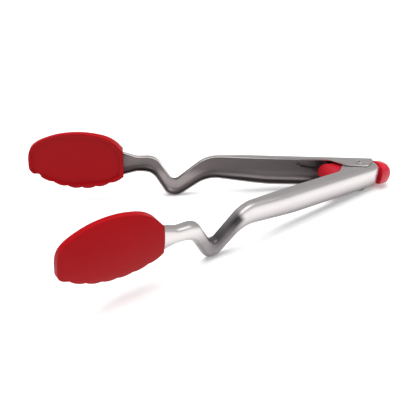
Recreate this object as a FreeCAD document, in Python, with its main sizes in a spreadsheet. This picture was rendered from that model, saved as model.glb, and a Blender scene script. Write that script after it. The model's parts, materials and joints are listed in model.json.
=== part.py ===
import FreeCAD, Part
import math
import os
import Sketcher
from FreeCAD import Placement, Rotation, Vector

# Spring loaded kitchen tongs, millimetres.
# Every piece is drawn about the hinge: the hinge axis is local Z, the arms reach towards -X,
# the far arm lies on the +Y side and the push button stands at +X.
# The whole set is then tipped so that it rests on its two feet and its hinge end.

doc = FreeCAD.newDocument("KitchenTongs")
dims = doc.addObject("Spreadsheet::Sheet", "Dims")

DRIVING = {
    "openAngle": 15.1,        # each arm from the middle plane, degrees
    "gauge": 1.0,             # sheet thickness of the arms
    "farHalf": 12.8,          # half height of the outer arm at the hinge
    "earGap": 0.5,            # space between the overlapping ears
    "webOuter": 12.2,         # outer face of the handle from the middle plane
    "neckOuter": 11.2,        # the same over the neck
    "paddleOuter": 9.6,       # and inside the head
    "edgeRound": 5.2,         # outside corner of the pressed channel
    "rearEnd": 14.2,          # arm behind the hinge
    "footReach": 162.0,       # hinge to foot
    "footDrop": 28.0,         # foot below the hinge plane
    "rearContact": 12.0,      # rear resting edge behind the hinge
    "rivetRadius": 2.25,
    "rivetBore": 1.2,
    "flangeRadius": 3.1,
    "flangeThick": 0.75,
    "fitGap": 0.05,           # running clearance on the rivet
    "slack": 0.1,             # axial play between stacked pieces
    "washerRadius": 5.4,
    "bushRadius": 4.2,
    "coilRadius": 5.4,
    "wireRadius": 0.65,
    "coilPitch": 1.45,
    "coilTurns": 3,
    "legReach": 50.6,
    "legKnee": 34.0,
    "coreHalf": 9.8,          # half height of the red lock core
    "coreWide": 10.8,         # half width of the red lock core
    "coreRearWide": 5.8,
    "coreRear": 10.0,
    "coreRound": 4.2,         # long edges, inside the channel's corner
    "screwBack": 9.0,
    "screwSide": 6.8,
    "noseReach": 33.0,
    "noseRadius": 11.5,
    "floorThick": 1.0,
    "pocketRadius": 7.4,      # room for the torsion spring
    "ceiling": 1.0,           # top of the spring room, below the hinge plane
    "axleHeight": 3.2,        # height of the button's line of travel
    "stroke": 3.2,
    "plungerHalf": 2.2,
    "plungerWide": 4.4,
    "railGap": 0.3,
    "boltHalfWide": 1.25,
    "boltHalfTall": 1.3,
    "boltTip": 24.0,
    "stemRadius": 1.9,
    "boreRadius": 4.3,
    "boreEnd": 21.0,
    "rotorRadius": 3.6,
    "rotorRib": 4.0,
    "rotorFront": 13.5,
    "plungerFront": 9.8,
    "catchThick": 0.8,
    "catchReach": 24.5,
    "catchHalfTall": 2.7,
    "catchInner": 3.0,
    "catchStep": 1.2,         # the near catch stands this much further forward
    "capFront": 20.4,
    "capRear": 32.5,
    "capWide": 10.6,
    "capHalf": 9.6,
    "neckHalf": 8.0,
    "neckWide": 5.4,
    "headRoot": 206.0,
    "headTip": 285.0,
    "headInner": 1.0,
    "headOuter": 11.4,
    "rimWidth": 2.4,
    "dishDepth": 2.0,
    "scallopPitch": 12.0,
    "scallopSag": 1.6,
    "crownLong": 330.0,        # radii of the head's domed outer face
    "crownCross": 62.0,
    "pinPlace": 7.2,          # cross pin between plunger and bolt, ahead of the hinge
    "pinRadius": 0.58,
    "pinHole": 0.6,
    "screwShank": 0.7,
    "screwHead": 1.55,
    "screwSeat": 8.0,
    "screwTop": 9.4,
    "sideRecess": 9.7,        # catches lie in recesses past this offset
    "capRound": 8.6,          # button's rear corners seen from the side
}
for row, (alias, value) in enumerate(DRIVING.items(), start=1):
    dims.set("A%d" % row, alias)
    dims.set("B%d" % row, str(value))
    dims.setAlias("B%d" % row, alias)
doc.recompute()

UP = Vector(0, 0, 1)
FAR = 1
NEAR = -1
subparts = []


def size(expression):
    """Number that an expression on the spreadsheet gives."""
    value = dims.evalExpression(expression)
    return float(getattr(value, "Value", value))


def finish(item, label):
    """Give a finished piece its name."""
    item.Label = label
    subparts.append(item)
    return item


# ---------------------------------------------------------------- primitives on the sheet


def box(name, x, y, z):
    """Box between pairs of bounds, each bound an expression."""
    item = doc.addObject("Part::Box", name)
    for side, axis, (low, high) in zip(("Length", "Width", "Height"), "xyz", (x, y, z)):
        item.setExpression(side, "(%s) - (%s)" % (high, low))
        item.setExpression("Placement.Base.%s" % axis, low)
    return item


def cylinder(name, radius, low, high, centre=("0", "0"), along=UP):
    """Cylinder on Z, or on X or Y, between two bounds along its own axis."""
    item = doc.addObject("Part::Cylinder", name)
    item.Placement.Rotation = Rotation(UP, along)
    item.setExpression("Radius", radius)
    item.setExpression("Height", "(%s) - (%s)" % (high, low))
    across = [axis for axis, part in zip("xyz", along) if part == 0]
    lengthwise = [axis for axis, part in zip("xyz", along) if part != 0][0]
    item.setExpression("Placement.Base.%s" % lengthwise, low)
    for axis, place in zip(across, centre):
        item.setExpression("Placement.Base.%s" % axis, place)
    return item


def fuse(name, shapes):
    item = doc.addObject("Part::MultiFuse", name)
    item.Shapes = shapes
    return item


def cut(name, base, tools):
    item = doc.addObject("Part::Cut", name)
    item.Base = base
    item.Tool = tools[0] if len(tools) == 1 else fuse(name + "Tools", tools)
    return item


def common(name, first, second):
    item = doc.addObject("Part::Common", name)
    item.Base = first
    item.Tool = second
    return item


# ---------------------------------------------------------------- sketched bodies

def newBody(name):
    return doc.addObject("PartDesign::Body", name)


def plane(body, role):
    return [item for item in body.Origin.OriginFeatures if item.Role == role][0]


def sketch(body, name, role, corners, lift=None):
    """Closed outline on one of the body's own planes, every corner bound to the sheet."""
    item = body.newObject("Sketcher::SketchObject", name)
    item.AttachmentSupport = [(plane(body, role), "")]
    item.MapMode = "FlatFace"
    if lift:
        item.setExpression("AttachmentOffset.Base.z", lift)
    places = [Vector(size(u), size(v), 0) for u, v in corners]
    count = len(places)
    for i in range(count):
        item.addGeometry(Part.LineSegment(places[i], places[(i + 1) % count]), False)
    for i in range(count):
        item.addConstraint(Sketcher.Constraint("Coincident", i, 2, (i + 1) % count, 1))
    for i, (u, v) in enumerate(corners):
        for kind, axis, expression, value in (
            ("DistanceX", -2, u, places[i].x),
            ("DistanceY", -1, v, places[i].y),
        ):
            if abs(value) < 1e-9:
                item.addConstraint(Sketcher.Constraint("PointOnObject", i, 1, axis))
            else:
                index = item.addConstraint(Sketcher.Constraint(kind, -1, 1, i, 1, value))
                item.setExpression("Constraints[%d]" % index, expression)
    return item


def circleSketch(body, name, role, radius, centre=("0", "0"), lift=None):
    item = body.newObject("Sketcher::SketchObject", name)
    item.AttachmentSupport = [(plane(body, role), "")]
    item.MapMode = "FlatFace"
    if lift:
        item.setExpression("AttachmentOffset.Base.z", lift)
    place = Vector(size(centre[0]), size(centre[1]), 0)
    item.addGeometry(Part.Circle(place, UP, size(radius)), False)
    index = item.addConstraint(Sketcher.Constraint("Radius", 0, size(radius)))
    item.setExpression("Constraints[%d]" % index, radius)
    for kind, axis, expression, value in (
        ("DistanceX", -2, centre[0], place.x),
        ("DistanceY", -1, centre[1], place.y),
    ):
        if abs(value) < 1e-9:
            item.addConstraint(Sketcher.Constraint("PointOnObject", 0, 3, axis))
        else:
            index = item.addConstraint(Sketcher.Constraint(kind, -1, 1, 0, 3, value))
            item.setExpression("Constraints[%d]" % index, expression)
    return item


def pad(body, name, profile, length, both=False):
    item = body.newObject("PartDesign::Pad", name)
    item.Profile = profile
    item.setExpression("Length", length)
    item.Midplane = both
    profile.Visibility = False
    body.Tip = item
    return item


def pocket(body, name, profile, length, both=False, reverse=False):
    """Pocket that must take material away."""
    doc.recompute()
    before = body.Shape.Volume
    item = body.newObject("PartDesign::Pocket", name)
    item.Profile = profile
    item.setExpression("Length", length)
    item.Midplane = both
    item.Reversed = reverse
    body.Tip = item
    doc.recompute()
    if body.Shape.Volume >= before - 1e-6:
        raise ValueError("%s cuts nothing" % name)
    return item


def turned(name, corners):
    """Body turned about Z from corners given as radius and height."""
    body = newBody(name)
    outline = sketch(body, name + "Profile", "XZ_Plane", corners)
    item = body.newObject("PartDesign::Revolution", name + "Turn")
    item.Profile = outline
    item.ReferenceAxis = (outline, ["V_Axis"])
    item.Angle = 360
    body.Tip = item
    return body


# ---------------------------------------------------------------- outlines with rounded corners

def inset(corners, distance):
    """Corners of an anticlockwise outline moved inwards; outer rounds shrink, inner ones grow."""
    count = len(corners)
    lines = []
    for i in range(count):
        start = Vector(corners[i][0], corners[i][1], 0)
        end = Vector(corners[(i + 1) % count][0], corners[(i + 1) % count][1], 0)
        heading = (end - start).normalize()
        inward = Vector(-heading.y, heading.x, 0)
        lines.append((start + inward * distance, heading))
    moved = []
    for i in range(count):
        place, heading = lines[i - 1]
        other, turn = lines[i]
        spread = heading.x * turn.y - heading.y * turn.x
        gap = other - place
        reach = (gap.x * turn.y - gap.y * turn.x) / spread
        corner = place + heading * reach
        radius = corners[i][2]
        change = -distance if spread > 0 else distance
        moved.append((corner.x, corner.y, radius + change if radius else 0))
    return moved


def roundedWire(corners, toPoint):
    """Closed wire through the corners, each one rounded by its radius."""
    count = len(corners)
    stops = []
    for i in range(count):
        before = Vector(*corners[i - 1][:2], 0)
        here = Vector(*corners[i][:2], 0)
        after = Vector(*corners[(i + 1) % count][:2], 0)
        radius = corners[i][2]
        back = (before - here).normalize()
        ahead = (after - here).normalize()
        if not radius:
            stops.append((here, None, here))
            continue
        half = back.getAngle(ahead) / 2
        trim = radius / math.tan(half)
        middle = (back + ahead).normalize()
        deep = radius / math.sin(half) - radius
        stops.append((here + back * trim, here + middle * deep, here + ahead * trim))
    edges = []
    for i in range(count):
        start, peak, end = stops[i]
        if peak:
            edges.append(Part.Arc(toPoint(start), toPoint(peak), toPoint(end)).toShape())
        following = stops[(i + 1) % count][0]
        if (following - end).Length > 1e-6:
            edges.append(Part.LineSegment(toPoint(end), toPoint(following)).toShape())
    return Part.Wire(Part.__sortEdges__(edges))


def onSide(level):
    """Outline coordinates are reach and height; the plane stands at this offset."""
    return lambda point: Vector(-point.x, level, point.y)


def onPlan(level):
    """Outline coordinates are reach and offset; the plane lies at this height."""
    return lambda point: Vector(-point.x, point.y, level)


def prism(wire, direction):
    return Part.Face(wire).extrude(direction)


# ---------------------------------------------------------------- arms

def armSide(half):
    """Side view of an arm from behind the hinge to the paddle, reach and height."""
    foot = size("Dims.footReach")
    drop = size("Dims.footDrop")
    return [
        (-30, -half, 0),
        (78, -half - 0.3, 60),
        (foot - 30.5, -8.9, 12),
        (foot + 0.2, -drop - 3.95, 9),
        (foot + 18.8, -4.6, 8),
        (foot + 32, -4.6, 14),
        (foot + 60, -13.5, 12),
        (foot + 98, -6, 9),
        (foot + 98, 15, 9),
        (foot + 66, 21, 14),
        (foot + 32, 9.9, 14),
        (foot + 15.3, 9.9, 9),
        (foot - 0.5, -13.3, 2.5),
        (foot - 28.5, 11.4, 16),
        (95, half, 60),
        (-30, half, 0),
    ]


def armPlan(inner, outer):
    """Plan of the web's outer side, reach and offset; the handle steps in to the neck."""
    web = size("Dims.webOuter")
    neck = size("Dims.neckOuter")
    paddle = size("Dims.paddleOuter")
    return [
        (-32, inner, 0),
        (280, inner, 0),
        (280, paddle - outer, 0),
        (206, paddle - outer, 60),
        (180, neck - outer, 60),
        (124, neck - outer, 120),
        (92, web - outer, 120),
        (-32, web - outer, 0),
    ]


def earPlan():
    """Plan of the lips: the ear about the hinge, an S to the handle's lip, then the neck's."""
    rear = size("Dims.rearEnd")
    return [
        (-rear, 20, 0),
        (-rear, 3.6, 5),
        (-6.5, -6.6, 6),
        (12.5, -6.2, 7),
        (25.5, 2.9, 9),
        (92, 2.9, 60),
        (122, 4.6, 60),
        (280, 4.2, 0),
        (280, 20, 0),
    ]


def shellBody(half, depth):
    """Solid pressed form of an arm, its outer corners rounded, set in by a depth."""
    side = armSide(half)
    side = inset(side, depth) if depth else side
    reach = size("Dims.webOuter") + 20
    form = prism(roundedWire(side, onSide(-10)), Vector(0, reach, 0))
    plan = prism(roundedWire(armPlan(-12, depth), onPlan(-60)), Vector(0, 0, 120))
    form = form.common(plan)
    if form.Solids:
        form = form.Solids[0]
    rounding = size("Dims.edgeRound") - depth
    outer = []
    for edge in form.Edges:
        middle = edge.valueAt((edge.FirstParameter + edge.LastParameter) / 2)
        if middle.y > size("Dims.neckOuter") - depth - 0.05 and edge.BoundBox.YLength < 3:
            if edge.BoundBox.XLength > 0.01 or edge.BoundBox.ZLength < 20:
                outer.append(edge)
    return form.makeFillet(rounding, outer)


def armShape(half):
    """Pressed channel with ears, drawn for the far side."""
    shell = shellBody(half, 0).cut(shellBody(half, size("Dims.gauge")))
    keep = prism(roundedWire(earPlan(), onPlan(-60)), Vector(0, 0, 120))
    arm = shell.common(keep)
    hole = Part.makeCylinder(size("Dims.rivetRadius + Dims.fitGap"), 60, Vector(0, 0, -30))
    return arm.cut(hole)


def catchPlan(step):
    """Tab and foot of a lock catch, reach and offset."""
    thick = size("Dims.catchThick")
    reach = size("Dims.catchReach") + step
    inner = -size("Dims.catchInner")
    web = size("Dims.webOuter - Dims.gauge")
    return [
        (reach - 7, web - thick, 0),
        (reach, web - thick, 0.5),
        (reach, inner, 0),
        (reach + thick, inner, 0),
        (reach + thick, web, 1.2),
        (reach - 7, web, 0),
    ]


def catchShape(step):
    """Bent steel tab with a window that the lock bolt enters."""
    axle = size("Dims.axleHeight")
    tall = size("Dims.catchHalfTall")
    tab = prism(roundedWire(catchPlan(step), onPlan(axle - tall)), Vector(0, 0, 2 * tall))
    wide = size("Dims.boltHalfWide") + 0.35
    high = size("Dims.boltHalfTall") + 0.35
    window = Part.makeBox(12, 2 * wide, 2 * high, Vector(-36, -wide, axle - high))
    return tab.cut(window)


# ---------------------------------------------------------------- silicone heads

SCALLOPS = 6


def headLow(reach):
    """Lower edge of a head between its scallops."""
    return -19.4 + 11.0 * ((reach - 241) / 36) ** 2


def headWire(level):
    """Outline of a head: an arched top, a blunt tip and root, a scalloped lower edge."""
    root = size("Dims.headRoot")
    tip = size("Dims.headTip")
    point = onSide(level)
    top = [(root, 15.5), (root + 7, 23), (root + 17, 28.2), (root + 34, 31),
           (root + 52, 29.4), (root + 67, 24), (tip - 3.6, 18.6), (tip, 12)]
    arch = Part.BSplineCurve()
    arch.interpolate([point(Vector(u, v, 0)) for u, v in top])
    edges = [arch.toShape()]
    pitch = size("Dims.scallopPitch")
    first = tip - 8
    start = Vector(tip, -1.5, 0)
    edges.append(Part.LineSegment(point(Vector(tip, 12, 0)), point(start)).toShape())
    corner = Vector(first, headLow(first), 0)
    bulge = (start + corner) / 2 + Vector(1.2, -0.9, 0)
    edges.append(Part.Arc(point(start), point(bulge), point(corner)).toShape())
    for i in range(SCALLOPS):
        after = Vector(corner.x - pitch, headLow(corner.x - pitch), 0)
        sag = (corner + after) / 2 + Vector(0, -size("Dims.scallopSag"), 0)
        edges.append(Part.Arc(point(corner), point(sag), point(after)).toShape())
        corner = after
    edges.append(Part.LineSegment(point(corner), point(Vector(root, 15.5, 0))).toShape())
    return Part.Wire(Part.__sortEdges__(edges))


def dishWire(level):
    """Smooth outline of the shallow dish on the inner face."""
    root = size("Dims.headRoot")
    tip = size("Dims.headTip")
    rim = size("Dims.rimWidth")
    corners = [
        (root + rim, 15.0 - rim, 0),
        (root + rim, -7.4, 2),
        (root + 12, -16.6 + rim, 26),
        (root + 46, -20.5 + rim, 30),
        (tip - rim, -7.6, 8),
        (tip - rim, 13.5, 7),
        (root + 60, 29.8 - rim, 24),
        (root + 34, 31.6 - rim, 30),
        (root + 14, 28.4 - rim, 12),
    ]
    return roundedWire(corners, onSide(level))


def headShape(arm):
    """Spoon of silicone moulded over the arm's paddle, drawn for the far side."""
    inner = size("Dims.headInner")
    outer = size("Dims.headOuter")
    blank = prism(headWire(inner), Vector(0, outer - inner + 1, 0))
    lengthwise = size("Dims.crownLong")
    cross = size("Dims.crownCross")
    crown = Part.makeTorus(lengthwise - cross, cross, Vector(-228, outer - lengthwise, 6), UP)
    bulk = Part.makeCylinder(lengthwise - cross, 90, Vector(-228, outer - lengthwise, -40))
    dish = prism(dishWire(inner - 1), Vector(0, 1 + size("Dims.dishDepth"), 0))
    head = blank.common(crown.fuse(bulk)).cut(dish)
    return head.cut(arm)


# ---------------------------------------------------------------- springs

def tube(path, radius, start, heading):
    """Round wire swept along a path."""
    ring = Part.Wire([Part.Circle(start, heading, radius).toShape()])
    return Part.Wire(path).makePipeShell([ring], True, True)


def bentPath(places, radius):
    """Edges through some places, each corner turned on an arc."""
    edges = []
    start = places[0]
    for before, here, after in zip(places, places[1:], places[2:]):
        back = (before - here).normalize()
        ahead = (after - here).normalize()
        half = back.getAngle(ahead) / 2
        trim = radius / math.tan(half)
        peak = here + (back + ahead).normalize() * (radius / math.sin(half) - radius)
        edges.append(Part.LineSegment(start, here + back * trim).toShape())
        edges.append(Part.Arc(here + back * trim, peak, here + ahead * trim).toShape())
        start = here + ahead * trim
    edges.append(Part.LineSegment(start, places[-1]).toShape())
    return edges


def alongArm(reach, offset, height):
    """Place in the open far arm's own directions."""
    angle = math.radians(size("Dims.openAngle"))
    return Vector(
        -reach * math.cos(angle) + offset * math.sin(angle),
        reach * math.sin(angle) + offset * math.cos(angle),
        height,
    )


def torsionSpring():
    """Coil about the hinge with a leg along each arm's inner wall."""
    radius = size("Dims.coilRadius")
    wire = size("Dims.wireRadius")
    pitch = size("Dims.coilPitch")
    low = -size("Dims.coreHalf - Dims.floorThick") + wire + 0.15
    web = size("Dims.webOuter - Dims.gauge") - wire - 0.15
    end = alongArm(size("Dims.legReach"), web, 0)
    aim = math.atan2(end.y, end.x)
    lean = aim - math.acos(radius / end.Length)
    turns = size("Dims.coilTurns") + 2 * lean / (2 * math.pi)
    high = low + pitch * turns
    helix = Part.makeHelix(pitch, pitch * turns, radius)
    helix.Placement = Placement(Vector(0, 0, low), Rotation(UP, -math.degrees(lean)))
    coil = helix.Edges[0]
    spring = tube([coil], wire, coil.valueAt(coil.FirstParameter), coil.tangentAt(coil.FirstParameter))
    knee = size("Dims.legKnee")
    for side, at, lift, kneeHeight, endHeight in (
        (FAR, coil.LastParameter, 2.0, -1.95, 1.8),
        (NEAR, coil.FirstParameter, 2.6, low + 1.3, low + 3.6),
    ):
        leave = coil.valueAt(at)
        heading = coil.tangentAt(at) * side
        tip = Vector(end.x, side * end.y, endHeight)
        bend = leave + (tip - leave) * (knee / (tip - leave).Length)
        bend.z = kneeHeight
        hook = tip + Vector(0, -side * 1.6, 1.0)
        path = bentPath([leave, leave + heading * lift, bend, tip, hook], 0.8)
        spring = spring.fuse(tube(path, wire, leave, heading))
    return spring


def returnSpring():
    """Compression spring that pushes the button back."""
    start = size("Dims.rotorFront") + 0.45
    end = size("Dims.boreEnd") - 0.45
    radius = 2.85
    wire = 0.35
    turns = 5
    helix = Part.makeHelix((end - start) / turns, end - start, radius)
    helix.Placement = Placement(
        Vector(-start, 0, size("Dims.axleHeight")), Rotation(UP, Vector(-1, 0, 0))
    )
    first = helix.Edges[0]
    place = first.valueAt(first.FirstParameter)
    return tube(helix.Edges, wire, place, first.tangentAt(first.FirstParameter))


# ---------------------------------------------------------------- pieces made by shape

def shaped(label, shape):
    item = doc.addObject("Part::Feature", label)
    item.Shape = shape
    return finish(item, label)


def solidOf(shape):
    """The single solid in a shape, its coplanar faces joined."""
    shape = shape.removeSplitter()
    if len(shape.Solids) != 1:
        raise ValueError("expected one solid, found %d" % len(shape.Solids))
    return shape.Solids[0]


def swung(shape, side):
    """Far side drawing turned to its open place, mirrored for the near side."""
    if side == NEAR:
        shape = shape.mirror(Vector(0, 0, 0), Vector(0, 1, 0))
    angle = -side * size("Dims.openAngle")
    return shape.rotated(Vector(0, 0, 0), UP, angle)


farHalf = size("Dims.farHalf")
nearHalf = size("Dims.farHalf - Dims.gauge - Dims.earGap")
for name, side, half, step in (
    ("far", FAR, farHalf, 0),
    ("near", NEAR, nearHalf, size("Dims.catchStep")),
):
    arm = solidOf(armShape(half))
    shaped(name + "_arm", swung(arm, side))
    shaped(name + "_head", swung(solidOf(headShape(arm)), side))
    shaped(name + "_catch", swung(solidOf(catchShape(step)), side))

shaped("torsion_spring", solidOf(torsionSpring()))
shaped("return_spring", solidOf(returnSpring()))


# ---------------------------------------------------------------- hinge stack

seat = "(Dims.farHalf + Dims.slack)"
lip = "(Dims.farHalf + Dims.slack + Dims.flangeThick)"
rivet = turned("HingeRivet", [
    ("Dims.rivetBore", "-" + lip),
    ("Dims.flangeRadius", "-" + lip),
    ("Dims.flangeRadius", "-" + seat),
    ("Dims.rivetRadius", "-" + seat),
    ("Dims.rivetRadius", seat),
    ("Dims.flangeRadius", seat),
    ("Dims.flangeRadius", lip),
    ("Dims.rivetBore", lip),
])
doc.recompute()
turn = rivet.Tip
rims = []
for index, edge in enumerate(turn.Shape.Edges, start=1):
    ends = [abs(vertex.Z) for vertex in edge.Vertexes]
    if isinstance(edge.Curve, Part.Circle) and min(ends) > size(lip) - 0.01:
        rims.append("Edge%d" % index)
rolled = rivet.newObject("PartDesign::Fillet", "RolledRims")
rolled.Base = (turn, rims)
rolled.Radius = 0.45
rivet.Tip = rolled
finish(rivet, "hinge_rivet")

washerLow = "(Dims.farHalf - Dims.gauge - Dims.earGap + Dims.slack)"
washerHigh = "(Dims.farHalf - Dims.gauge - Dims.slack)"
for name, low, high in (
    ("top_washer", washerLow, washerHigh),
    ("bottom_washer", "-" + washerHigh, "-" + washerLow),
):
    washer = turned(name + "Body", [
        ("Dims.rivetRadius + Dims.fitGap", low),
        ("Dims.washerRadius", low),
        ("Dims.washerRadius", high),
        ("Dims.rivetRadius + Dims.fitGap", high),
    ])
    finish(washer, name)

coreFloor = "(Dims.floorThick - Dims.coreHalf)"
bush = turned("CoilBush", [
    ("Dims.rivetRadius + Dims.fitGap", coreFloor),
    ("Dims.bushRadius", coreFloor),
    ("Dims.bushRadius", "-Dims.ceiling - Dims.slack"),
    ("Dims.rivetRadius + Dims.fitGap", "-Dims.ceiling - Dims.slack"),
])
finish(bush, "coil_bush")

# ---------------------------------------------------------------- lock core, two red halves

CORE_PLAN = [
    ("-Dims.noseReach", "-Dims.coreWide"),
    ("-2", "-Dims.coreWide"),
    ("Dims.coreRear", "-Dims.coreRearWide"),
    ("Dims.coreRear", "Dims.coreRearWide"),
    ("-2", "Dims.coreWide"),
    ("-Dims.noseReach", "Dims.coreWide"),
]
TAB_FRONT = "-Dims.catchReach - Dims.catchStep - Dims.catchThick - 1.6"
TAB_BACK = "-Dims.catchReach + 3.4"
TAB_LOW = "Dims.axleHeight - Dims.catchHalfTall - 0.5"
TAB_HIGH = "Dims.axleHeight + Dims.catchHalfTall + 0.5"


def roundedBar(name):
    """Bar of the core's section, its four long edges rounded."""
    body = newBody(name + "Bar")
    section = sketch(body, name + "Section", "YZ_Plane", [
        ("-Dims.coreWide", "-Dims.coreHalf"),
        ("Dims.coreWide", "-Dims.coreHalf"),
        ("Dims.coreWide", "Dims.coreHalf"),
        ("-Dims.coreWide", "Dims.coreHalf"),
    ])
    bar = pad(body, name + "BarPad", section, "100", both=True)
    doc.recompute()
    longEdges = [
        "Edge%d" % index
        for index, edge in enumerate(bar.Shape.Edges, start=1)
        if edge.BoundBox.XLength > 50
    ]
    rounds = body.newObject("PartDesign::Fillet", name + "BarRounds")
    rounds.Base = (bar, longEdges)
    rounds.setExpression("Radius", "Dims.coreRound")
    body.Tip = rounds
    return body


def coreHalf(name, low, high, screwRadius):
    """One half of the core: rounded nose, plunger way, spring bore and catch slot."""
    body = newBody(name + "Blank")
    outline = sketch(body, name + "Plan", "XY_Plane", CORE_PLAN, low)
    pad(body, name + "Pad", outline, "(%s) - (%s)" % (high, low))
    nose = fuse(name + "Nose", [
        cylinder(
            name + "Round", "Dims.noseRadius", "-12", "12",
            ("Dims.noseRadius - Dims.noseReach", "0"), Vector(0, 1, 0),
        ),
        box(
            name + "Rear", ("Dims.noseRadius - Dims.noseReach", "Dims.coreRear + 1"),
            ("-12", "12"), ("-12", "12"),
        ),
    ])
    blank = common(name + "Form", common(name + "Section", body, roundedBar(name)), nose)
    wide = ("-Dims.coreWide - 1", "Dims.coreWide + 1")
    rail = "Dims.plungerWide + Dims.railGap"
    rise = "Dims.plungerHalf + Dims.railGap"
    tools = [
        cylinder(name + "RivetHole", "Dims.rivetRadius + Dims.fitGap", "-12", "12"),
        box(
            name + "Way", ("-Dims.plungerFront - Dims.stroke - 0.4", "Dims.coreRear + 1"),
            ("-(%s)" % rail, rail),
            ("Dims.axleHeight - (%s)" % rise, "Dims.axleHeight + %s" % rise),
        ),
        cylinder(
            name + "Bore", "Dims.boreRadius", "-Dims.boreEnd", "-Dims.plungerFront",
            ("0", "Dims.axleHeight"), Vector(1, 0, 0),
        ),
        box(
            name + "BoltWay", ("-Dims.boreEnd - 1.5", "-Dims.boreEnd + 1"),
            ("-Dims.stemRadius - 0.3", "Dims.stemRadius + 0.3"),
            ("Dims.axleHeight - Dims.stemRadius - 0.3", "Dims.axleHeight + Dims.stemRadius + 0.3"),
        ),
        box(name + "CatchSlot", (TAB_FRONT, TAB_BACK), wide, (TAB_LOW, TAB_HIGH)),
    ]
    for side, bounds in (("Far", ("Dims.sideRecess", "12")), ("Near", ("-12", "-Dims.sideRecess"))):
        tools.append(box(
            name + side + "Recess", ("-Dims.catchReach - 5.2", "-Dims.catchReach + 9"),
            bounds, (TAB_LOW, TAB_HIGH),
        ))
        sign = "" if side == "Far" else "-"
        tools.append(cylinder(
            name + side + "ScrewHole", screwRadius, "0.4", "12",
            ("-Dims.screwBack", sign + "Dims.screwSide"),
        ))
    return blank, tools


lowerBlank, lowerTools = coreHalf("Lower", "-Dims.coreHalf", "Dims.axleHeight", "Dims.screwShank + 0.05")
lowerTools.append(cylinder(
    "SpringRoom", "Dims.pocketRadius", coreFloor, "-Dims.ceiling",
))
for side, bounds in (("Far", ("3", "12")), ("Near", ("-12", "-3"))):
    lowerTools.append(box(
        side + "LegWay", ("-Dims.noseReach - 1", "2"), bounds, (coreFloor, "-Dims.ceiling"),
    ))
finish(cut("LowerCore", lowerBlank, lowerTools), "lower_core")

upperBlank, upperTools = coreHalf("Upper", "Dims.axleHeight", "Dims.coreHalf", "Dims.screwShank + 0.25")
for sign in ("", "-"):
    upperTools.append(cylinder(
        "HeadSeat" + ("Far" if not sign else "Near"), "Dims.screwHead + 0.2", "Dims.screwSeat", "12",
        ("-Dims.screwBack", sign + "Dims.screwSide"),
    ))
finish(cut("UpperCore", upperBlank, upperTools), "upper_core")

screws = []
for sign in ("", "-"):
    tag = "Far" if not sign else "Near"
    place = ("-Dims.screwBack", sign + "Dims.screwSide")
    shank = cylinder("ScrewShank" + tag, "Dims.screwShank", "0.6", "Dims.screwSeat + 0.1", place)
    head = cylinder("ScrewHead" + tag, "Dims.screwHead", "Dims.screwSeat", "Dims.screwTop", place)
    whole = fuse("Screw" + tag, [shank, head])
    driverSlot = box(
        "ScrewSlot" + tag, ("-Dims.screwBack - 1.8", "1.8 - Dims.screwBack"),
        (sign + "Dims.screwSide - 0.2", sign + "Dims.screwSide + 0.2"),
        ("Dims.screwTop - 0.5", "10"),
    )
    screws.append(cut("SlottedScrew" + tag, whole, [driverSlot]))
pair = doc.addObject("Part::Compound", "CoreScrews")
pair.Links = screws
finish(pair, "core_screws")

# ---------------------------------------------------------------- push button and lock bolt

low = "Dims.axleHeight - Dims.plungerHalf"
high = "Dims.axleHeight + Dims.plungerHalf"
plungerBody = newBody("PlungerBody")
bar = sketch(plungerBody, "PlungerPlan", "XY_Plane", [
    ("-Dims.plungerFront", "-Dims.plungerWide"),
    ("Dims.capFront + 4", "-Dims.plungerWide"),
    ("Dims.capFront + 4", "Dims.plungerWide"),
    ("-Dims.plungerFront", "Dims.plungerWide"),
], low)
pad(plungerBody, "PlungerBar", bar, "2 * Dims.plungerHalf")
slotWide = "Dims.rivetRadius + 0.35"
slot = sketch(plungerBody, "RivetSlot", "XY_Plane", [
    ("-Dims.rivetRadius - 0.45", "-(%s)" % slotWide),
    ("Dims.rivetRadius + Dims.stroke + 0.95", "-(%s)" % slotWide),
    ("Dims.rivetRadius + Dims.stroke + 0.95", slotWide),
    ("-Dims.rivetRadius - 0.45", slotWide),
], low)
pocket(plungerBody, "RivetSlotCut", slot, "3 * Dims.plungerHalf", reverse=True)
stemHole = circleSketch(
    plungerBody, "StemHole", "YZ_Plane", "Dims.stemRadius", ("0", "Dims.axleHeight"),
    "-Dims.plungerFront",
)
pocket(plungerBody, "StemHoleCut", stemHole, "5.6", reverse=True)
pinHole = circleSketch(plungerBody, "PinHole", "XY_Plane", "Dims.pinHole", ("-Dims.pinPlace", "0"), low)
pocket(plungerBody, "PinHoleCut", pinHole, "3 * Dims.plungerHalf", reverse=True)
finish(plungerBody, "plunger")

stem = cylinder(
    "BoltStem", "Dims.stemRadius", "-Dims.boreEnd", "-Dims.plungerFront + 5.6",
    ("0", "Dims.axleHeight"), Vector(1, 0, 0),
)
tongue = box(
    "BoltTongue", ("-Dims.boltTip", "-Dims.boreEnd + 1"),
    ("-Dims.boltHalfWide", "Dims.boltHalfWide"),
    ("Dims.axleHeight - Dims.boltHalfTall", "Dims.axleHeight + Dims.boltHalfTall"),
)
crossHole = cylinder("BoltCrossHole", "Dims.pinHole", "0", "8", ("-Dims.pinPlace", "0"))
finish(cut("LockBolt", fuse("BoltForm", [stem, tongue]), [crossHole]), "lock_bolt")
boltPin = newBody("BoltPin")
pinRound = circleSketch(
    boltPin, "BoltPinRound", "XY_Plane", "Dims.pinRadius", ("-Dims.pinPlace", "0"), low,
)
pad(boltPin, "BoltPinPad", pinRound, "2 * Dims.plungerHalf")
finish(boltPin, "bolt_pin")

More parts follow.
